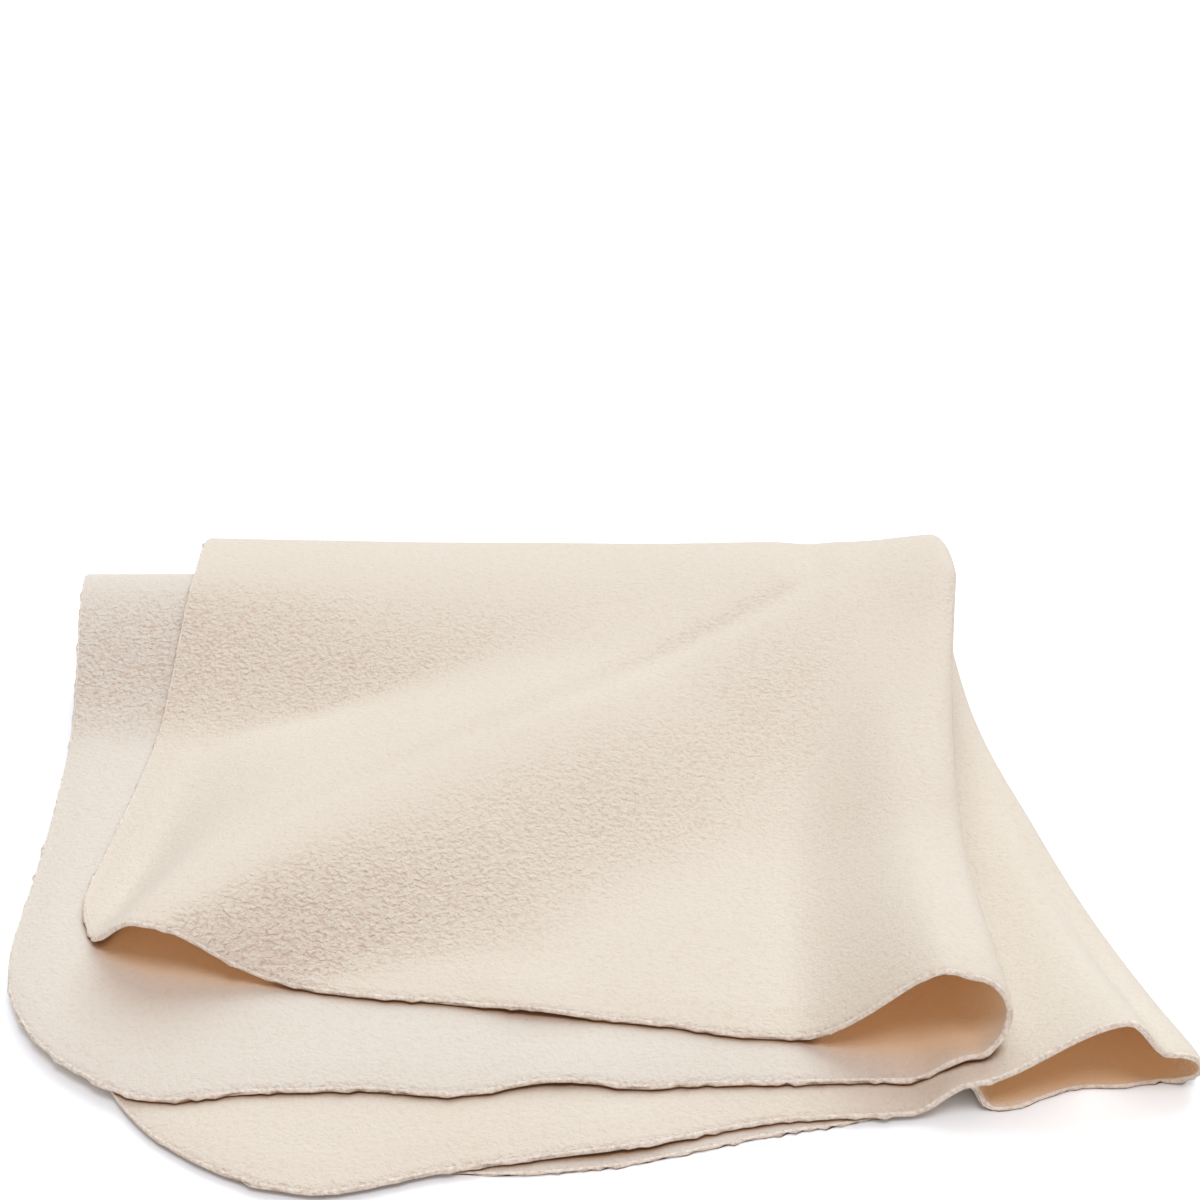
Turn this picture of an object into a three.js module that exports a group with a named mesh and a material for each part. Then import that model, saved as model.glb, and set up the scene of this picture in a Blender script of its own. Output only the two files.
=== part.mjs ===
// A chamois leather, folded in half twice and laid down. Millimetres, +Z up.
// The two fold lines cross at the back right corner of the folded skin, where x and y are 0 while it is shaped.
// Free edges lie to the left (-x) and to the front (-y). At the end the origin moves to the middle of the underside.
// The skin is one sheet in four layers: top and second are joined by the upper roll on the right, third and bottom
// by the lower roll, and at the back the upper pair turns over into the lower pair in one loop inside another.
import * as THREE from "three";

// The sheet
const thickness = 1.1;
const plyGap = 0.5; // air between two layers that lie on each other
const restCut = 0.5; // how much of the underside is cut flat where it lies

// How far the free sides lie left of the back corner, where each pair turns over at the back
const outerBackWidth = 152.5;
const innerBackWidth = 175;

// Each layer: free side at the front, depth along the free side and along the roll, round corner, and how far the
// side (waist) and the front edge (hollow) draw in between their ends
const layers = {
  top: {
    backWidth: outerBackWidth,
    frontWidth: 164.3,
    freeDepth: 98.5,
    rollDepth: 119.5,
    corner: 19,
    waist: 1.6,
    hollow: 0,
  },
  second: {
    backWidth: innerBackWidth,
    frontWidth: 174.5,
    freeDepth: 127.5,
    rollDepth: 124,
    corner: 37,
    waist: 3,
    hollow: 0,
  },
  third: {
    backWidth: innerBackWidth,
    frontWidth: 148.5,
    freeDepth: 151.5,
    rollDepth: 124.5,
    corner: 41,
    waist: 0,
    hollow: 2,
  },
  bottom: {
    backWidth: outerBackWidth,
    frontWidth: 137,
    freeDepth: 149,
    rollDepth: 121.5,
    corner: 54,
    waist: 0,
    hollow: 0,
  },
};

// The rolls on the right: how far each strays to the right by its front end, how much it bows left, and its fullness
// With a sagShare below zero a roll bulges above its middle
const rolls = {
  upper: { stray: -5.5, bow: 4, length: 122, backReach: 2.5, frontReach: 11, sagShare: -0.15 },
  lower: { stray: 26, bow: 4.5, length: 121.5, backReach: 2.5, frontReach: 5.5, sagShare: 0.1 },
};
const rollGap = 2.8; // between the middles of two layers that a roll joins
const rollSpread = 20; // how far from the roll the layers close on each other

// The loop at the back, which holds the upper pair up
const loopHeight = 13.5; // between the middles of the second and third layers
const loopSag = 1.6;
const loopDrop = 1;
const loopDropWidth = 90;
const loopReach = 22; // of the outer loop, behind the fold line
const fallLeft = 40; // how far forward the upper pair takes to come down
const fallRight = 80;
const fallSpread = 150;

// The crease that lifts all layers beside the upper roll at the front, as distances left of the fold line
const creaseHeight = 4.2;
const creaseFoot = 15.5;
const creaseTop = 6;
const creaseEnd = 2.5;
const creasePower = 5;

// The open mouth of the lower roll
const mouthHeight = 10;
const mouthPower = 3;
const mouthPeakShare = 0.377;
const mouthLipShare = 0.22;
const mouthDropShare = 0.8;

// The ridge that runs across the top layer, from its open mouth at the front left to the loop
const ridgeInset = 17; // from the free side, where the ridge starts at the front edge
const ridgeExit = 28; // left of the fold line, where the ridge meets the loop
const ridgeHeight = 10.5;
const ridgeCrown = 3; // how far its top is level before it falls to the front
const ridgeFade = 2.5;
const ridgeFadeStart = 80;
const ridgeFadeLength = 60;
const ridgeFrontWidth = 22;
const ridgeFrontGrowth = 24;
const ridgeFrontRun = 60;
const ridgeBackWidth = 15;
const ridgeBackGrowth = 30;
const ridgeBackRun = 50;
const ridgeCurl = 4;
const ridgeCurlReach = 30;
const ridgePower = 5;

// The flank of the upper roll
const flankHeight = 8.5;
const flankStartShare = 0.08;
const flankRunShare = 0.5;
const muzzleHeight = 10;
const muzzleStartShare = 0.55;
const muzzleRunShare = 0.5;
const flankStart = 9;
const flankWidth = 16;
const flankGrowth = 10;
const stackPower = 4;

// Where the grid of the sheet is finer: lines left of the fold line, and rows forward of the loop
const upperLines = [45, 29];
const lowerLine = 29;
const fanShares = [0.69, 0.377]; // of the lower pair's way from its roll to the crease
const backRows = [8, 17, 27, 39, 52];
const gatherShare = 0.5; // of the depth in which the lower pair's columns leave those of the loop

const cornerSteps = 3;
const upperMiddle = 4;
const lowerMiddle = 1;
const frontRows = 4;
const turnSteps = 6;

const pitch = thickness + plyGap;
const restLevel = thickness / 2 - restCut;
const lastColumn = upperPlaces(layers.top, 0).length; // the roll, after a layer's own places
const lastBackRow = backRows[backRows.length - 1];

function clamp(value, low, high) {
  return Math.min(high, Math.max(low, value));
}

function smooth(value) {
  const t = clamp(value, 0, 1);
  return t * t * (3 - 2 * t);
}

function mix(from, to, share) {
  return from + (to - from) * share;
}

function rollLine(roll, y) {
  const s = -y / roll.length;
  return roll.stray * s - roll.bow * Math.sin(Math.PI * clamp(s, 0, 1));
}

function rollStart(roll, y, s) {
  return rollLine(roll, y) - mix(roll.backReach, roll.frontReach, s);
}

// The layers part a little where a roll joins them
function puff(roll, x, y) {
  return (rollGap - pitch) * (1 - smooth((rollLine(roll, y) - x) / rollSpread));
}

function creaseRise(x, y) {
  const s = -y / rolls.lower.length;
  const left = rolls.upper.stray * s - x;
  const slope = 1 - smooth((left - creaseTop) / (creaseFoot - creaseTop));
  return creaseHeight * Math.max(s, 0) ** creasePower * slope;
}

function mouthRise(x, y) {
  const s = Math.max(-y / rolls.lower.length, 0);
  const line = rollLine(rolls.lower, y);
  const share = (line - x) / (line - rolls.upper.stray * s + creaseTop);
  const lift = mouthHeight * s ** mouthPower;
  if (share > mouthPeakShare) return lift * (1 - smooth((share - mouthPeakShare) / (1 - mouthPeakShare)));
  return lift * (1 - mouthDropShare * smooth((mouthPeakShare - share) / mouthLipShare));
}

function lowerRise(x, y) {
  return creaseRise(x, y) + mouthRise(x, y);
}

function loopRise(x, y) {
  const fall = mix(fallLeft, fallRight, smooth((x + layers.top.frontWidth) / fallSpread));
  const sag = loopSag * Math.sin(Math.PI * clamp(-x / outerBackWidth, 0, 1));
  const drop = loopDrop * smooth((x + loopDropWidth) / loopDropWidth);
  return (loopHeight - pitch - sag - drop) * (1 - smooth(-y / fall));
}

function ridgeRise(x, y) {
  const startX = ridgeInset - layers.top.frontWidth;
  const startY = -layers.top.freeDepth;
  const length = Math.hypot(-ridgeExit - startX, -startY);
  const towardsX = (-ridgeExit - startX) / length;
  const towardsY = -startY / length;
  const along = (x - startX) * towardsX + (y - startY) * towardsY;
  const t = along / ridgeCurlReach;
  const curl = ridgeCurl * t * Math.exp(1 - Math.max(t, 0));
  const across = (y - startY) * towardsX - (x - startX) * towardsY - curl;
  const front = ridgeFrontWidth + ridgeFrontGrowth * smooth(along / ridgeFrontRun);
  const back = ridgeBackWidth + ridgeBackGrowth * smooth(along / ridgeBackRun);
  const height = ridgeHeight - ridgeFade * smooth((along - ridgeFadeStart) / ridgeFadeLength);
  const fall = across < 0 ? (-across - ridgeCrown) / (front - ridgeCrown) : across / back;
  return height * (1 - smooth(fall));
}

function flankRise(x, y) {
  const s = -y / rolls.upper.length;
  const left = rollLine(rolls.upper, y) - x;
  const flank = flankHeight * smooth((s - flankStartShare) / flankRunShare);
  const muzzle = muzzleHeight * smooth((s - muzzleStartShare) / muzzleRunShare);
  return (flank + muzzle) * (1 - smooth((left - flankStart) / (flankWidth + flankGrowth * s)));
}

// The height of the middle of each layer
const heights = {
  bottom(x, y) {
    const left = (rolls.upper.stray * -y) / rolls.lower.length - x;
    return restLevel + creaseRise(x, y) * smooth((left - creaseEnd) / (creaseTop - creaseEnd));
  },
  third(x, y) {
    return restLevel + pitch + puff(rolls.lower, x, y) + lowerRise(x, y);
  },
  second(x, y) {
    return heights.third(x, y) + pitch + loopRise(x, y);
  },
  top(x, y) {
    const loop = loopRise(x, y);
    const ridge = (loop ** ridgePower + ridgeRise(x, y) ** ridgePower) ** (1 / ridgePower);
    const above = ridge - loop + flankRise(x, y);
    const rise = (above ** stackPower + lowerRise(x, y) ** stackPower) ** (1 / stackPower);
    const puffs = puff(rolls.lower, x, y) + puff(rolls.upper, x, y);
    return restLevel + 3 * pitch + puffs + loop + rise;
  },
};

// Places from the free side to the roll along the front (s = 1) or the back (s = 0), round corner first
function columnPlaces(layer, s, middleLayer, middle, lines) {
  const places = [];
  const width = mix(layer.backWidth, layer.frontWidth, s);
  for (let i = 0; i < cornerSteps; i++) {
    places.push(layer.corner * (1 - Math.cos((i / cornerSteps) * (Math.PI / 2))) - width);
  }
  const from = middleLayer.corner - mix(middleLayer.backWidth, middleLayer.frontWidth, s);
  for (let i = 0; i <= middle; i++) places.push(mix(from, lines[0], i / (middle + 1)));
  return [...places, ...lines];
}

function upperPlaces(layer, s) {
  const lines = [...upperLines, creaseFoot].map((left) => rolls.upper.stray * s - left);
  return columnPlaces(layer, s, layers.top, upperMiddle, lines);
}

function lowerPlaces(layer, s) {
  const fold = rolls.upper.stray * s;
  const lines = [lowerLine, creaseFoot, creaseTop, creaseEnd].map((left) => fold - left);
  const line = rolls.lower.stray * s;
  const fan = fanShares.map((share) => mix(line, fold - creaseTop, share));
  return columnPlaces(layer, s, layer, lowerMiddle, [...lines, ...fan]);
}

function isUpper(name) {
  return name === "top" || name === "second";
}

function placesAt(name, s) {
  return isUpper(name) ? upperPlaces(layers[name], s) : lowerPlaces(layers[name], s);
}

// How far forward a column of a layer reaches, full and less its round corner
function columnDepths(name, column) {
  const layer = layers[name];
  const roll = isUpper(name) ? rolls.upper : rolls.lower;
  const rollX = rollStart(roll, -roll.length, 1);
  const x = column === lastColumn ? rollX : placesAt(name, 1)[column];
  const share = (x + layer.frontWidth) / (rollX + layer.frontWidth);
  const full = mix(layer.freeDepth, layer.rollDepth, share) - layer.hollow * Math.sin(Math.PI * share);
  const inset = clamp(layer.corner - (x + layer.frontWidth), 0, layer.corner);
  return { full, cut: full - layer.corner + Math.sqrt(layer.corner ** 2 - inset ** 2) };
}

// The upper pair shares its rows under the loop and up to the front edge of the top layer
function rowDepth(name, column, row) {
  const rows = isUpper(name) ? [0, ...backRows] : [0, lastBackRow];
  if (row < rows.length) return rows[row];
  const share = (row - rows.length + 1) / frontRows;
  const own = columnDepths(name, column).cut;
  if (share === 1) return own;
  return mix(lastBackRow, isUpper(name) ? columnDepths("top", column).cut : own, share);
}

// One point of a layer's middle: column 0 is its free side and the last one its roll, row 0 is at the back
function layerPoint(name, column, row) {
  const layer = layers[name];
  const depth = rowDepth(name, column, row);
  const s = depth / columnDepths(name, column).full;
  const roll = isUpper(name) ? rolls.upper : rolls.lower;
  if (column === lastColumn) return surfacePoint(name, rollStart(roll, -depth, s), -depth);
  const own = placesAt(name, s)[column];
  const back = upperPlaces(name === "bottom" ? layers.top : layers.second, 0)[column];
  const x = isUpper(name) ? own : mix(back, own, smooth(s / gatherShare));
  const waist = layer.waist * Math.sin(Math.PI * clamp(s, 0, 1)) * (1 - column / lastColumn);
  return surfacePoint(name, x + waist, -depth);
}

function surfacePoint(name, x, y) {
  return new THREE.Vector3(x, y, heights[name](x, y));
}

// A roll joins the outer layer to the inner one by half a turn, squashed to the roll's reach
function rollPoint(roll, outer, inner, turn, s) {
  const middle = outer.clone().add(inner).multiplyScalar(1 / 2);
  const half = outer.clone().sub(inner).multiplyScalar(1 / 2);
  const point = middle.clone().addScaledVector(half, Math.cos(turn));
  point.x += mix(roll.backReach, roll.frontReach, s) * Math.sin(turn);
  point.z -= roll.sagShare * half.length() * Math.sin(turn) ** 2;
  const floor = roll === rolls.upper ? heights.third(point.x, point.y) + pitch : restLevel;
  point.z = Math.max(point.z, floor);
  return point;
}

// One row of the sheet: the outer layer from its free side, the roll, and the inner layer to its free side
function sheetRow(outerName, innerName, row) {
  const roll = isUpper(outerName) ? rolls.upper : rolls.lower;
  const columns = Array.from({ length: lastColumn + 1 }, (_, i) => i);
  const outer = columns.map((i) => layerPoint(outerName, i, row));
  const inner = columns.map((i) => layerPoint(innerName, i, row)).reverse();
  const s = rowDepth(outerName, lastColumn, row) / layers[outerName].rollDepth;
  const turned = [];
  for (let i = 1; i < turnSteps; i++) {
    turned.push(rollPoint(roll, outer[lastColumn], inner[0], (Math.PI * i) / turnSteps, s));
  }
  return [...outer, ...turned, ...inner];
}

// Between the two pairs each column makes half a turn at the back, wide on the outside and tight inside
function loopRow(upper, lower, turn) {
  return upper.map((from, i) => {
    const to = lower[i];
    const half = from.clone().sub(to).multiplyScalar(1 / 2);
    const point = to.clone().add(half).addScaledVector(half, Math.cos(turn));
    const inside = clamp((i - lastColumn) / turnSteps, 0, 1);
    const reach = mix(loopReach, half.z, (1 - Math.cos(Math.PI * inside)) / 2);
    point.y += reach * Math.sin(turn);
    return point;
  });
}

function sheetGrid() {
  const upper = [];
  const lower = [];
  for (let row = 0; row <= backRows.length + frontRows; row++) upper.push(sheetRow("top", "second", row));
  for (let row = 0; row <= frontRows + 1; row++) lower.push(sheetRow("bottom", "third", row));
  const loop = [];
  for (let i = 1; i < turnSteps; i++) loop.push(loopRow(upper[0], lower[0], (Math.PI * i) / turnSteps));
  return [...upper.reverse(), ...loop, ...lower];
}

// The way out of the sheet at each point of the grid, from the points beside it
function gridNormal(grid, row, column) {
  const rows = grid.length - 1;
  const columns = grid[0].length - 1;
  const left = grid[row][Math.max(column - 1, 0)];
  const right = grid[row][Math.min(column + 1, columns)];
  const before = grid[Math.max(row - 1, 0)][column];
  const after = grid[Math.min(row + 1, rows)][column];
  return right.clone().sub(left).cross(before.clone().sub(after)).normalize();
}

// The closed body: both faces of the sheet, half its thickness from the middle, and the cut edge all round
function skinGeometry() {
  const grid = sheetGrid();
  const rowCount = grid.length;
  const columnCount = grid[0].length;
  const points = [];
  for (const side of [1, -1]) {
    grid.forEach((line, row) => {
      line.forEach((point, column) => {
        const face = point.clone().addScaledVector(gridNormal(grid, row, column), (side * thickness) / 2);
        face.z = Math.max(face.z, 0);
        points.push(face);
      });
    });
  }
  const upperSide = (row, column) => row * columnCount + column;
  const lowerSide = (row, column) => upperSide(row, column) + rowCount * columnCount;
  const faces = [];
  const addQuad = (a, b, c, d) => faces.push(a, b, c, a, c, d);
  for (let row = 0; row < rowCount - 1; row++) {
    for (let column = 0; column < columnCount - 1; column++) {
      const ring = [
        [row, column],
        [row, column + 1],
        [row + 1, column + 1],
        [row + 1, column],
      ];
      // Every face that lies over this one is cut along the same diagonal
      if ((column < columnCount / 2) !== (row < rowCount / 2)) ring.push(ring.shift());
      const [a, b, c, d] = ring.map(([i, j]) => upperSide(i, j));
      addQuad(a, d, c, b);
      addQuad(...ring.map(([i, j]) => lowerSide(i, j)));
    }
  }
  const rim = [];
  for (let column = 0; column < columnCount - 1; column++) rim.push([0, column]);
  for (let row = 0; row < rowCount - 1; row++) rim.push([row, columnCount - 1]);
  for (let column = columnCount - 1; column > 0; column--) rim.push([rowCount - 1, column]);
  for (let row = rowCount - 1; row > 0; row--) rim.push([row, 0]);
  rim.forEach((from, i) => {
    const to = rim[(i + 1) % rim.length];
    addQuad(upperSide(...from), upperSide(...to), lowerSide(...to), lowerSide(...from));
  });
  const geometry = new THREE.BufferGeometry().setFromPoints(points).setIndex(faces);
  geometry.computeBoundingBox();
  const middle = geometry.boundingBox.getCenter(new THREE.Vector3());
  geometry.translate(-middle.x, -middle.y, -geometry.boundingBox.min.z);
  geometry.computeVertexNormals();
  return geometry;
}

const suede = new THREE.MeshStandardMaterial({ color: 0xe9e0cf, roughness: 0.95, metalness: 0 });
const skin = new THREE.Mesh(skinGeometry(), suede);
skin.name = "chamois_skin";

const chamois = new THREE.Group();
chamois.add(skin);

export default chamois;
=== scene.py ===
# A chamois leather, folded in half twice and laid on a pale floor.
# The skin is one sheet in four layers. Top and second are joined by the upper roll on the right,
# third and bottom by the lower roll, and at the back the upper pair turns over into the lower pair,
# one loop inside another.
import math

import bmesh
import bpy
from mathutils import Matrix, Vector, noise


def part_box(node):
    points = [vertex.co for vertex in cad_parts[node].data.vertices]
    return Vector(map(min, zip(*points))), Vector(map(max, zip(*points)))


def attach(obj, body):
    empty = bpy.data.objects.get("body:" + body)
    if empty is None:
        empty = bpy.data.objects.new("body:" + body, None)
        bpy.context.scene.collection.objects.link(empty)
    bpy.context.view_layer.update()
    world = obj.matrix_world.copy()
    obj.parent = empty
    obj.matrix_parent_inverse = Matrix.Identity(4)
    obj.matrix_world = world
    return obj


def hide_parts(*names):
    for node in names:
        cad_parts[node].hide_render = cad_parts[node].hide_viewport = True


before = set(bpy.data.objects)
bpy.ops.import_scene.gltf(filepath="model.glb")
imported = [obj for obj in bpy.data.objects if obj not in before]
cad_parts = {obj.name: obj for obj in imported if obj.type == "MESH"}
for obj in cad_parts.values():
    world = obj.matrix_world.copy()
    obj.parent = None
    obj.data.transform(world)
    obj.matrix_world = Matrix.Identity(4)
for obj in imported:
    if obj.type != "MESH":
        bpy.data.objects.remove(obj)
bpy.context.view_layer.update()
mm = 0.001  # the sizes below are millimetres, and Blender's unit is the metre

sheet = {
    "thickness": 1.1,
    "plyGap": 0.5,  # air between two layers that lie on each other
    "restCut": 0.5,  # how much of the underside is flat on the floor
    "flat": (345, 285),
    "outerColumns": 108,  # cells from a free side to the roll
    "cornerColumns": 24,  # of them, those along the round corner
    "cornerPower": 0.8,  # below 1 the first of these cells are wider
    "rollColumns": 24,
    "upperRows": 72,
    "loopRows": 24,
    "lowerRows": 88,
    "nose": [(0.11, 0.2), (0.13, 0.13), (0.14, 0.07)],  # steps of the round rim: narrower, and further out
    "nick": 0.65,  # how uneven the cut is, and how long its nicks are
    "nickLength": 1.2,
    "edgeDroop": 0.4,  # a free edge settles on the layer below it
    "droopReach": 6,
    "waveReach": 12,  # how far in from the edge a wave still lifts it
    "swell": 0.6,  # soft unevenness that all layers share, and how far apart its hills are
    "swellLength": 24,
}

# Widths lie left of the fold line's back end, depths in front of it
# A wave of the front edge: where along it, how far to each side, how far forward and how far up it goes
layers = {
    "top": {
        "backWidth": 152.5,
        "frontWidth": 164.3,
        "freeDepth": 98.5,
        "rollDepth": 119.5,
        "corner": 19,
        "waist": 1.6,
        "hollow": 0,
        "looseness": 1,
        "waves": [(0.36, 0.1, 0.7, 0), (0.56, 0.09, 0.2, 0.9), (0.78, 0.08, 0.8, 0), (0.92, 0.09, 1.3, 0)],
    },
    "second": {
        "backWidth": 175,
        "frontWidth": 174.5,
        "freeDepth": 127.5,
        "rollDepth": 124,
        "corner": 37,
        "waist": 3,
        "hollow": 0,
        "looseness": 0.7,
        "waves": [(0.2, 0.11, 1.9, 0), (0.5, 0.1, 1.4, 0), (0.61, 0.09, -0.8, 0.5), (0.7, 0.06, 0.6, 0)],
    },
    "third": {
        "backWidth": 175,
        "frontWidth": 148.5,
        "freeDepth": 151.5,
        "rollDepth": 124.5,
        "corner": 41,
        "waist": 0,
        "hollow": 2,
        "looseness": 0.4,
        "waves": [(0.2, 0.13, 1.7, 0), (0.47, 0.1, 0.5, 0.6), (0.62, 0.15, -1.7, 0)],
    },
    "bottom": {
        "backWidth": 152.5,
        "frontWidth": 137,
        "freeDepth": 149,
        "rollDepth": 121.5,
        "corner": 54,
        "waist": 0,
        "hollow": 0,
        "looseness": 0,
        "waves": [(0.42, 0.2, 2.3, 0), (0.74, 0.09, -1.2, 0), (0.83, 0.05, 1.4, 0), (0.91, 0.05, -1, 0)],
    },
}
upperRoll = {"stray": -5.5, "bow": 4, "length": 122, "backReach": 2.5, "frontReach": 11, "sagShare": -0.15}
lowerRoll = {"stray": 26, "bow": 4.5, "length": 121.5, "backReach": 2.5, "frontReach": 5.5, "sagShare": 0.1}
rollSeat = {"gap": 2.8, "spread": 20}  # the layers part a little where a roll joins them
loop = {
    "height": 13.5,
    "sag": 1.6,
    "drop": 1,
    "dropWidth": 90,
    "reach": 22,
    "fallLeft": 40,
    "fallRight": 80,
    "fallSpread": 150,
}
crease = {"height": 4.2, "foot": 15.5, "top": 6, "end": 2.5, "power": 5}
mouth = {"height": 10, "power": 3, "peakShare": 0.377, "lipShare": 0.22, "dropShare": 0.8}
ridge = {
    "inset": 17,
    "exit": 28,
    "height": 10.5,
    "crown": 3,  # how far its top is level before it falls to the front
    "fade": 2.5,
    "fadeStart": 80,
    "fadeLength": 60,
    "frontWidth": 22,
    "frontGrowth": 24,
    "frontRun": 60,
    "backWidth": 15,
    "backGrowth": 30,
    "backRun": 50,
    "curl": 4,
    "curlReach": 30,
    "power": 5,
    # A faint groove follows the crest: its depth, half width and place behind it, each at both ends
    "groove": (0.3, 0.9),
    "grooveWidth": (1.9, 3),
    "groovePlace": (3.5, -0.5),
    "grooveRun": 150,
}
flank = {
    "height": 8.5,
    "startShare": 0.08,
    "runShare": 0.5,
    "start": 9,
    "width": 16,
    "growth": 10,
    "muzzleHeight": 10,
    "muzzleStartShare": 0.55,
    "muzzleRunShare": 0.5,
    "stackPower": 4,
}
# A faint crease along the crown of the upper roll, at its back and at its front end
dent = {"depth": 0.5, "turn": (0.9, 0.42), "width": 0.18, "start": 0.35}
gatherShare = 0.5  # of the depth in which the lower pair's columns leave those of the loop

pitch = sheet["thickness"] + sheet["plyGap"]
restLevel = sheet["thickness"] / 2 - sheet["restCut"]
nose = sum(out for narrower, out in sheet["nose"])
skinLow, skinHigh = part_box("chamois_skin")
foldCorner = Vector(
    (
        skinLow.x + layers["second"]["backWidth"] * mm,
        skinHigh.y - (loop["reach"] + sheet["thickness"] / 2) * mm,
        0,
    )
)


def clamp(value, low, high):
    return min(high, max(low, value))


def smooth(value):
    t = clamp(value, 0, 1)
    return t * t * (3 - 2 * t)


def mix(start, end, share):
    return start + (end - start) * share


def rollLine(roll, y):
    s = -y / roll["length"]
    return roll["stray"] * s - roll["bow"] * math.sin(math.pi * clamp(s, 0, 1))


def rollReach(roll, s):
    return mix(roll["backReach"], roll["frontReach"], s)


def puff(roll, x, y):
    return (rollSeat["gap"] - pitch) * (1 - smooth((rollLine(roll, y) - x) / rollSeat["spread"]))


# The crease lifts all layers beside the upper roll at the front
def creaseRise(x, y):
    s = -y / lowerRoll["length"]
    left = upperRoll["stray"] * s - x
    slope = 1 - smooth((left - crease["top"]) / (crease["foot"] - crease["top"]))
    return crease["height"] * max(s, 0) ** crease["power"] * slope


def mouthRise(x, y):
    s = max(-y / lowerRoll["length"], 0)
    line = rollLine(lowerRoll, y)
    share = (line - x) / (line - upperRoll["stray"] * s + crease["top"])
    lift = mouth["height"] * s ** mouth["power"]
    if share > mouth["peakShare"]:
        return lift * (1 - smooth((share - mouth["peakShare"]) / (1 - mouth["peakShare"])))
    return lift * (1 - mouth["dropShare"] * smooth((mouth["peakShare"] - share) / mouth["lipShare"]))


def loopRise(x, y):
    across = smooth((x + layers["top"]["frontWidth"]) / loop["fallSpread"])
    fall = mix(loop["fallLeft"], loop["fallRight"], across)
    sag = loop["sag"] * math.sin(math.pi * clamp(-x / layers["top"]["backWidth"], 0, 1))
    drop = loop["drop"] * smooth((x + loop["dropWidth"]) / loop["dropWidth"])
    return (loop["height"] - pitch - sag - drop) * (1 - smooth(-y / fall))


# The ridge runs across the top layer, from its open mouth at the front left to the loop
def ridgePlace(x, y):
    startX = ridge["inset"] - layers["top"]["frontWidth"]
    startY = -layers["top"]["freeDepth"]
    run = Vector((-ridge["exit"] - startX, -startY)).normalized()
    along = (x - startX) * run.x + (y - startY) * run.y
    t = along / ridge["curlReach"]
    curl = ridge["curl"] * t * math.exp(1 - max(t, 0))
    return along, (y - startY) * run.x - (x - startX) * run.y - curl


def grooveDepth(x, y):
    along, across = ridgePlace(x, y)
    share = smooth(along / ridge["grooveRun"])
    across -= mix(*ridge["groovePlace"], share)
    width = mix(*ridge["grooveWidth"], share)
    depth = mix(*ridge["groove"], share) * smooth(along / ridge["curlReach"])
    return depth * math.exp(-((across / width) ** 2))


def ridgeRise(x, y):
    along, across = ridgePlace(x, y)
    front = ridge["frontWidth"] + ridge["frontGrowth"] * smooth(along / ridge["frontRun"])
    back = ridge["backWidth"] + ridge["backGrowth"] * smooth(along / ridge["backRun"])
    height = ridge["height"] - ridge["fade"] * smooth((along - ridge["fadeStart"]) / ridge["fadeLength"])
    fall = (-across - ridge["crown"]) / (front - ridge["crown"]) if across < 0 else across / back
    return height * (1 - smooth(fall))


def flankRise(x, y):
    s = -y / upperRoll["length"]
    left = rollLine(upperRoll, y) - x
    side = flank["height"] * smooth((s - flank["startShare"]) / flank["runShare"])
    muzzle = flank["muzzleHeight"] * smooth((s - flank["muzzleStartShare"]) / flank["muzzleRunShare"])
    return (side + muzzle) * (1 - smooth((left - flank["start"]) / (flank["width"] + flank["growth"] * s)))


def bottomHeight(x, y):
    left = upperRoll["stray"] * -y / lowerRoll["length"] - x
    return restLevel + creaseRise(x, y) * smooth((left - crease["end"]) / (crease["top"] - crease["end"]))


def thirdHeight(x, y):
    return restLevel + pitch + puff(lowerRoll, x, y) + creaseRise(x, y) + mouthRise(x, y)


def secondHeight(x, y):
    return thirdHeight(x, y) + pitch + loopRise(x, y)


def topHeight(x, y):
    held = loopRise(x, y)
    power = ridge["power"]
    above = (held**power + ridgeRise(x, y) ** power) ** (1 / power) - held + flankRise(x, y)
    below = creaseRise(x, y) + mouthRise(x, y)
    power = flank["stackPower"]
    rise = (above**power + below**power) ** (1 / power)
    seat = restLevel + layersBelow * pitch + puff(lowerRoll, x, y) + puff(upperRoll, x, y)
    return seat + held + rise - grooveDepth(x, y)


heights = {"top": topHeight, "second": secondHeight, "third": thirdHeight, "bottom": bottomHeight}
layersBelow = len(heights) - 1  # under the top one


def rollOf(name):
    return upperRoll if name in ("top", "second") else lowerRoll


# Where a column lies, column 0 on the free side and the last one where the roll starts
def columnPlace(name, column, s, y):
    layer = layers[name]
    width = mix(layer["backWidth"], layer["frontWidth"], s) - nose
    corner = sheet["cornerColumns"]
    if column <= corner:
        turn = math.pi / 2 * (column / corner) ** sheet["cornerPower"]
        return layer["corner"] * (1 - math.cos(turn)) - width
    start = rollLine(rollOf(name), y) - rollReach(rollOf(name), s)
    return mix(layer["corner"] - width, start, (column - corner) / (sheet["outerColumns"] - corner))


# How far the front edge strays forward at a place along it, and how far up
def edgeWave(waves, across):
    forward = lift = 0
    for place, half, out, up in waves:
        bump = 1 - smooth(abs(across - place) / half)
        forward += out * bump
        lift += up * bump
    return forward, lift


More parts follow.
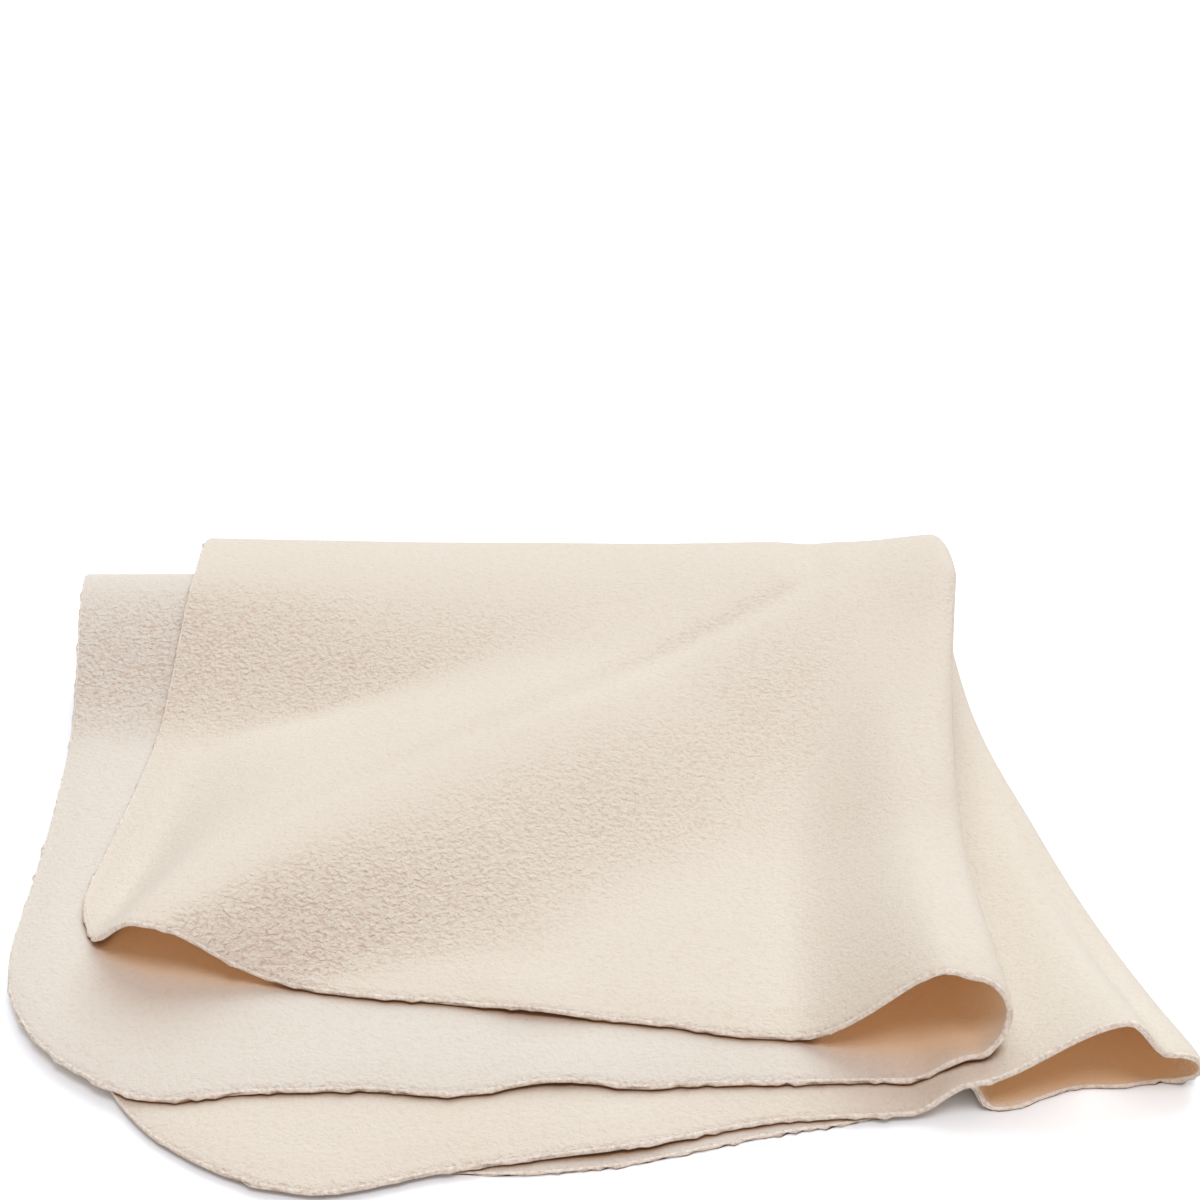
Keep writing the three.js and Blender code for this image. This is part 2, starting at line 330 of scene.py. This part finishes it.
# One point of a layer's middle, share 0 at the back and 1 at the front edge
def layerPoint(name, column, share):
    layer = layers[name]
    roll = rollOf(name)
    freeX = columnPlace(name, 0, 1, -roll["length"])
    inboard = columnPlace(name, column, 1, -roll["length"]) - freeX
    across = inboard / (columnPlace(name, sheet["outerColumns"], 1, -roll["length"]) - freeX)
    forward, lift = edgeWave(layer["waves"], across)
    hollow = layer["hollow"] * math.sin(math.pi * across)
    full = mix(layer["freeDepth"], layer["rollDepth"], across) - hollow + forward - nose
    inset = clamp(layer["corner"] - inboard, 0, layer["corner"])
    y = -share * (full - layer["corner"] + math.sqrt(layer["corner"] ** 2 - inset**2))
    s = -y / full
    x = columnPlace(name, column, s, y)
    if roll is lowerRoll:
        back = columnPlace("top" if name == "bottom" else "second", column, 0, 0)
        x = mix(back, x, smooth(s / gatherShare))
    x += layer["waist"] * math.sin(math.pi * s) * (1 - column / sheet["outerColumns"])
    z = heights[name](x, y)
    if name != "bottom":
        inward = full * (1 - share)
        z += lift * (1 - smooth(inward / sheet["waveReach"]))
        inward = min(inward, inboard)
        z -= sheet["edgeDroop"] * (1 - smooth(inward / sheet["droopReach"])) * smooth(s / gatherShare)
    hill = noise.noise(Vector((x, y, 0)) / sheet["swellLength"])
    return Vector((x, y, z + sheet["swell"] * layer["looseness"] * (hill + 1) / 2))


def dentDepth(turn, s):
    across = (turn - mix(*dent["turn"], s)) / dent["width"]
    return dent["depth"] * smooth((s - dent["start"]) / (1 - dent["start"])) * math.exp(-(across**2))


# A roll joins the outer layer to the inner one by half a turn, squashed to the roll's reach
def rollPoint(outerName, innerName, turn, share):
    roll = rollOf(outerName)
    outer = layerPoint(outerName, sheet["outerColumns"], share)
    inner = layerPoint(innerName, sheet["outerColumns"], share)
    half = (outer - inner) / 2
    middle = inner + half
    s = -outer.y / layers[outerName]["rollDepth"]
    point = middle + half * math.cos(turn)
    point.x += rollReach(roll, s) * math.sin(turn)
    point.z -= roll["sagShare"] * half.length * math.sin(turn) ** 2
    if roll is upperRoll:
        point -= (point - middle).normalized() * dentDepth(turn, s)
    floor = thirdHeight(point.x, point.y) + pitch if roll is upperRoll else restLevel
    point.z = max(point.z, floor)
    return point


# One point of a pair of layers: columns run over the outer layer, round the roll
# and back along the inner one
def pairPoint(outerName, innerName, column, share):
    side = sheet["outerColumns"]
    past = column - side
    if past <= 0:
        return layerPoint(outerName, column, share)
    if past < sheet["rollColumns"]:
        return rollPoint(outerName, innerName, math.pi * past / sheet["rollColumns"], share)
    return layerPoint(innerName, side - (past - sheet["rollColumns"]), share)


# Between the two pairs each column makes half a turn at the back, wide on the outside and tight inside
def loopPoint(column, turn):
    above = pairPoint("top", "second", column, 0)
    below = pairPoint("bottom", "third", column, 0)
    half = (above - below) / 2
    inside = clamp((column - sheet["outerColumns"]) / sheet["rollColumns"], 0, 1)
    point = below + half + half * math.cos(turn)
    point.y += mix(loop["reach"], half.z, (1 - math.cos(math.pi * inside)) / 2) * math.sin(turn)
    return point


def foldedPoint(column, row):
    past = row - sheet["upperRows"]
    if past <= 0:
        return pairPoint("top", "second", column, 1 - row / sheet["upperRows"])
    if past < sheet["loopRows"]:
        return loopPoint(column, math.pi * past / sheet["loopRows"])
    return pairPoint("bottom", "third", column, (past - sheet["loopRows"]) / sheet["lowerRows"])


def foldGrid(cloth):
    columns = 2 * sheet["outerColumns"] + sheet["rollColumns"]
    rows = sheet["upperRows"] + sheet["loopRows"] + sheet["lowerRows"]
    gridHalf = 0.5
    bmesh.ops.create_grid(cloth, x_segments=columns, y_segments=rows, size=gridHalf)
    edgeMark = cloth.verts.layers.float.new("cutEdge")
    cloth.verts.layers.float.new("innerSide")
    for vertex in cloth.verts:
        column = round((vertex.co.x + gridHalf) * columns)
        row = round((vertex.co.y + gridHalf) * rows)
        vertex[edgeMark] = float(column in (0, columns) or row in (0, rows))
        vertex.co = foldedPoint(column, row) * mm + foldCorner


# The grid is the sheet's middle, so the outer face moves out by half the thickness first
def thicken(cloth):
    innerMark = cloth.verts.layers.float["innerSide"]
    half = sheet["thickness"] / 2 * mm
    cloth.normal_update()
    outward = [vertex.normal.copy() for vertex in cloth.verts]
    for vertex, normal in zip(cloth.verts, outward):
        vertex.co += normal * half
    inner = bmesh.ops.solidify(cloth, geom=cloth.faces[:], thickness=2 * half)["geom"]
    for part in inner:
        if isinstance(part, bmesh.types.BMVert):
            part[innerMark] = 1
    bmesh.ops.recalc_face_normals(cloth, faces=cloth.faces[:])


# The rim between the two faces is drawn out into a round, uneven nose
def roundRim(cloth):
    edgeMark = cloth.verts.layers.float["cutEdge"]
    rim = [face for face in cloth.faces if all(vertex[edgeMark] for vertex in face.verts)]
    cutFaces = set(rim)
    for narrower, out in sheet["nose"]:
        made = bmesh.ops.inset_region(
            cloth, faces=rim, thickness=narrower * mm, depth=out * mm, use_even_offset=True
        )
        cutFaces.update(made["faces"])
    cloth.normal_update()
    for vertex in {vertex for face in rim for vertex in face.verts}:
        nick = sheet["nick"] * noise.noise(vertex.co / (sheet["nickLength"] * mm))
        vertex.co += vertex.normal * nick * mm
    for face in cutFaces:
        face.material_index = 1


def makeSkin():
    cloth = bmesh.new()
    foldGrid(cloth)
    thicken(cloth)
    roundRim(cloth)
    for vertex in cloth.verts:
        vertex.co.z = max(vertex.co.z, 0)
    for face in cloth.faces:
        face.smooth = True
    mesh = bpy.data.meshes.new("chamois")
    cloth.to_mesh(mesh)
    cloth.free()
    piece = bpy.data.objects.new("chamois", mesh)
    bpy.context.scene.collection.objects.link(piece)
    return piece


class Wire:  # a socket's value, so that shader maths is written as sums
    def __init__(self, finish, socket):
        self.finish = finish
        self.socket = socket

    def combine(self, operation, first, second):
        return self.finish.node("Math", {"operation": operation}, {0: first, 1: second})

    def __add__(self, other):
        return self.combine("ADD", self, other)

    def __radd__(self, other):
        return self.combine("ADD", other, self)

    def __sub__(self, other):
        return self.combine("SUBTRACT", self, other)

    def __rsub__(self, other):
        return self.combine("SUBTRACT", other, self)

    def __mul__(self, other):
        return self.combine("MULTIPLY", self, other)

    def __rmul__(self, other):
        return self.combine("MULTIPLY", other, self)


noLight = (0, 0, 0, 1)
fullLight = (1, 1, 1, 1)
skySamples = 8


class Finish:  # a material or a world under construction
    def __init__(self, owner):
        self.owner = owner
        owner.use_nodes = True
        self.tree = owner.node_tree
        self.tree.nodes.clear()

    def node(self, kind, settings, sockets, output=0):
        made = self.tree.nodes.new("ShaderNode" + kind)
        for name, value in settings.items():
            setattr(made, name, value)
        for name, value in sockets.items():
            if isinstance(value, Wire):
                self.tree.links.new(value.socket, made.inputs[name])
            else:
                made.inputs[name].default_value = value
        return Wire(self, made.outputs[output]) if made.outputs else made

    def noise(self, place, grain):
        return self.node("TexNoise", {}, {"Vector": place, **grain})

    def blend(self, share, first, second):
        return self.node("Mix", {"data_type": "RGBA"}, {0: share, 6: first, 7: second}, 2)

    def clamped(self, value):
        return self.node("Clamp", {}, {"Value": value})

    def sky(self, reach):  # how open a place is, as far as this many millimetres around it
        return self.node("AmbientOcclusion", {"samples": skySamples}, {"Distance": reach * mm}, "AO")

    def bump(self, relief):
        return self.node("Bump", {}, {"Strength": 1, "Distance": mm, "Height": relief})


suedeLook = {
    "pale": (0.86, 0.80, 0.71, 1),
    "warm": (0.80, 0.72, 0.61, 1),
    "palePink": (0.85, 0.805, 0.735, 1),  # the skin's inner side
    "warmPink": (0.79, 0.725, 0.64, 1),
    "pitShade": (0.74, 0.58, 0.48, 1),  # painted shade at the bottom of a wrinkle
    "pitStart": 0.49,
    "pitGain": 4,
    "deepShade": (0.82, 0.62, 0.41, 1),  # painted shade between two layers, warm as light that passes from one to the other
    "deepReach": 30,
    "deepStart": (-0.05, 0.43),  # outer and inner side
    "deepGain": 8,
    "contactShade": (0.38, 0.22, 0.11, 1),  # painted shade in the narrow gap under an edge
    "contactReach": 2.5,
    "contactStart": 0.35,
    "contactGain": 3,
    "glow": (0.85, 0.5, 0.27, 1),  # a painted glow, emitted light that stands in for light coming through the skin into the open mouths
    "glowStrength": 0.075,
    "mottle": {"Scale": 28, "Detail": 3, "Roughness": 0.55},
    "wrinkles": {"Scale": 1320, "Detail": 1, "Roughness": 0.5, "Distortion": 0.5},
    "wrinkleStretch": (0.85, 1, 1),
    "nap": {"Scale": 2600, "Detail": 2, "Roughness": 0.6},
    "shadeShares": (0.5, 0.35, 0.25),  # of the mottle, the wrinkles and the nap
    "wrinkleDepth": 0.6,
    "napDepth": 0.1,
    "flatShare": 0.26,  # of the wrinkles' depth, and of their painted shade, where the skin is level
    "slopeStart": 0.1,  # the slope to the front at which they get deeper and their painted shade darker, and how soon they do
    "slopeGain": 3.5,
    "roughness": 0.93,
    "specular": 0.3,
    "sheen": 0.15,
    "sheenRoughness": 0.5,
}


def makeSuede():
    look = suedeLook
    suede = Finish(bpy.data.materials.new("suede"))
    place = suede.node("TexCoord", {}, {}, "Object")
    mottle = suede.noise(place, look["mottle"])
    stretched = suede.node("Mapping", {}, {"Vector": place, "Scale": look["wrinkleStretch"]})
    wrinkles = suede.noise(stretched, look["wrinkles"])
    nap = suede.noise(place, look["nap"])
    facing = suede.node("SeparateXYZ", {}, {"Vector": suede.node("NewGeometry", {}, {}, "Normal")}, "Y")
    steep = suede.clamped((0 - facing - look["slopeStart"]) * look["slopeGain"])
    creased = steep * (1 - look["flatShare"]) + look["flatShare"]
    # Painted shade in the bottoms of the wrinkles, darkest on slopes turned to the front
    pitShade = suede.clamped((look["pitStart"] - wrinkles) * look["pitGain"]) * creased
    mottleShare, wrinkleShare, napShare = look["shadeShares"]
    shade = mottle * mottleShare + wrinkles * wrinkleShare + nap * napShare
    inner = suede.node("Attribute", {"attribute_name": "innerSide"}, {}, "Fac")
    outerSkin = suede.blend(shade, look["warm"], look["pale"])
    innerSkin = suede.blend(shade, look["warmPink"], look["palePink"])
    outerStart, innerStart = look["deepStart"]
    start = inner * (innerStart - outerStart) + outerStart
    # Painted shade: a place that sees little open sky takes the warm deep shade, the inner side sooner
    openness = suede.clamped((suede.sky(look["deepReach"]) - start) * look["deepGain"])
    # Painted shade where a layer nearly touches another
    apart = suede.clamped((suede.sky(look["contactReach"]) - look["contactStart"]) * look["contactGain"])
    colour = suede.blend(pitShade, suede.blend(inner, outerSkin, innerSkin), look["pitShade"])
    colour = suede.blend(openness, look["deepShade"], colour)
    colour = suede.blend(apart, look["contactShade"], colour)
    # A painted glow: the inner side gives off warm light where it is shaded but not in contact
    lit = apart * inner * (1 - openness)
    relief = wrinkles * creased * look["wrinkleDepth"] + nap * look["napDepth"]
    skin = suede.node(
        "BsdfPrincipled",
        {},
        {
            "Base Color": colour,
            "Roughness": look["roughness"],
            "Specular IOR Level": look["specular"],
            "Sheen Weight": look["sheen"],
            "Sheen Roughness": look["sheenRoughness"],
            "Emission Color": suede.blend(lit, noLight, look["glow"]),
            "Emission Strength": look["glowStrength"],
            "Normal": suede.bump(relief),
        },
    )
    suede.node("OutputMaterial", {}, {"Surface": skin})
    return suede.owner


cutLook = {
    # Pale tufts and darker hollows: partly the fibres' own tone, partly painted highlight and shade
    "tuft": (0.96, 0.92, 0.86, 1),
    "hollow": (0.77, 0.67, 0.57, 1),
    "contactShade": (0.38, 0.22, 0.11, 1),
    "contactReach": 3,
    "contactStart": 0.38,
    "contactGain": 3.5,
    "beads": {"Scale": 1400, "Detail": 2, "Roughness": 0.5},
    "beadMiddle": 0.5,
    "beadContrast": 2.8,
    "beadDepth": 0.5,
    "fibres": {"Scale": 3200, "Detail": 2, "Roughness": 0.6},
    "fibreDepth": 0.1,
    "roughness": 0.95,
    # A painted glow that stands in for light getting through the loose fibres, so that the cut is as bright
    # as the skin beside it
    "through": 0.13,
}


def makeCutEdge():
    look = cutLook
    edge = Finish(bpy.data.materials.new("cut edge"))
    place = edge.node("TexCoord", {}, {}, "Object")
    beads = edge.noise(place, look["beads"])
    fibres = edge.noise(place, look["fibres"])
    # Paler where the beads stand out, darker in the hollows between them: partly painted highlight and
    # shade
    tufts = edge.clamped((beads - look["beadMiddle"]) * look["beadContrast"] + look["beadMiddle"])
    # Painted shade where the cut nearly touches the layer below
    apart = edge.clamped((edge.sky(look["contactReach"]) - look["contactStart"]) * look["contactGain"])
    colour = edge.blend(apart, look["contactShade"], edge.blend(tufts, look["hollow"], look["tuft"]))
    relief = beads * look["beadDepth"] + fibres * look["fibreDepth"]
    skin = edge.node(
        "BsdfPrincipled",
        {},
        {
            "Base Color": colour,
            "Roughness": look["roughness"],
            # The cut gives off its own colour, a painted glow, except where it touches
            "Emission Color": edge.blend(apart, noLight, colour),
            "Emission Strength": look["through"],
            "Normal": edge.bump(relief),
        },
    )
    edge.node("OutputMaterial", {}, {"Surface": skin})
    return edge.owner


floorLook = {
    "halfWidth": 3000,
    "below": 0.1,  # so that the skin's flat underside and the paper don't share a plane
    "colour": (0.86, 0.86, 0.86, 1),
    "seenColour": (0.76, 0.82, 0.88, 1),
    "ownLight": 0.51,
    "shadeReach": 13,
}


def makeFloor():
    board = bmesh.new()
    bmesh.ops.create_grid(board, x_segments=1, y_segments=1, size=floorLook["halfWidth"] * mm)
    bmesh.ops.translate(board, verts=board.verts, vec=(0, 0, -floorLook["below"] * mm))
    mesh = bpy.data.meshes.new("floor")
    board.to_mesh(mesh)
    board.free()
    floor = bpy.data.objects.new("floor", mesh)
    bpy.context.scene.collection.objects.link(floor)
    paper = Finish(bpy.data.materials.new("floor paper"))
    matt = paper.node("BsdfDiffuse", {}, {"Color": floorLook["colour"]})
    # Seen by the camera, the paper is white and its shadows are grey; its own light fades where the skin is
    # close, a painted contact shadow
    cool = paper.node("BsdfDiffuse", {}, {"Color": floorLook["seenColour"]})
    none = paper.node("Emission", {}, {"Color": noLight})
    own = paper.node("Emission", {}, {"Color": fullLight, "Strength": floorLook["ownLight"]})
    # Painted contact shadow: the paper's own light fades where it sees little open sky
    shaded = paper.node("MixShader", {}, {0: paper.sky(floorLook["shadeReach"]), 1: none, 2: own})
    lit = paper.node("AddShader", {}, {0: cool, 1: shaded})
    path = paper.node("LightPath", {}, {}, "Is Camera Ray")
    seen = paper.node("MixShader", {}, {0: path, 1: matt, 2: lit})
    paper.node("OutputMaterial", {}, {"Surface": seen})
    mesh.materials.append(paper.owner)


# Slopes towards the viewer lose the lamp behind the skin, and the open mouths get little but the warm fill
studio = {
    "lamps": {
        "above": {
            "from": (0.1, -0.27, 0.958),
            "spread": 20,
            "strength": 1.16,
            "colour": (0.93, 0.92, 0.97),
        },
        "behind": {
            "from": (0.12, 0.71, 0.69),
            "spread": 60,
            "strength": 1.9,
            "colour": (0.77, 0.94, 1),
        },
    },
    "fill": 0.36,
    "fillColour": (1, 0.76, 0.62, 1),
}


def makeLights():
    for name, settings in studio["lamps"].items():
        lamp = bpy.data.lights.new(name, "SUN")
        lamp.angle = math.radians(settings["spread"])
        lamp.energy = settings["strength"]
        lamp.color = settings["colour"]
        light = bpy.data.objects.new(name, lamp)
        light.rotation_mode = "QUATERNION"
        light.rotation_quaternion = (-Vector(settings["from"])).to_track_quat("-Z", "Y")
        bpy.context.scene.collection.objects.link(light)
    room = Finish(bpy.data.worlds.new("studio"))
    fill = room.node("Background", {}, {"Color": studio["fillColour"], "Strength": studio["fill"]})
    white = room.node("Background", {}, {"Color": fullLight})
    path = room.node("LightPath", {}, {}, "Is Camera Ray")
    room.node("OutputWorld", {}, {"Surface": room.node("MixShader", {}, {0: path, 1: fill, 2: white})})
    bpy.context.scene.world = room.owner


view = {"aim": (-71, 16.5, -0.5), "distance": 500, "elevation": 35, "lens": 71.16, "sensor": 36}


def makeCamera():
    lens = bpy.data.cameras.new("camera")
    lens.lens = view["lens"]
    lens.sensor_width = view["sensor"]
    camera = bpy.data.objects.new("camera", lens)
    rise = math.radians(view["elevation"])
    back = Vector((0, -math.cos(rise), math.sin(rise)))
    camera.location = foldCorner + (Vector(view["aim"]) + back * view["distance"]) * mm
    camera.rotation_mode = "QUATERNION"
    camera.rotation_quaternion = (-back).to_track_quat("-Z", "Y")
    bpy.context.scene.collection.objects.link(camera)
    bpy.context.scene.camera = camera


print("camera, floor and lights")
makeCamera()
makeFloor()
makeLights()
bpy.context.scene.view_settings.view_transform = "Standard"

print("folding the skin")
skin = makeSkin()
skin.data.materials.append(makeSuede())
skin.data.materials.append(makeCutEdge())
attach(skin, "root")
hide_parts("chamois_skin")
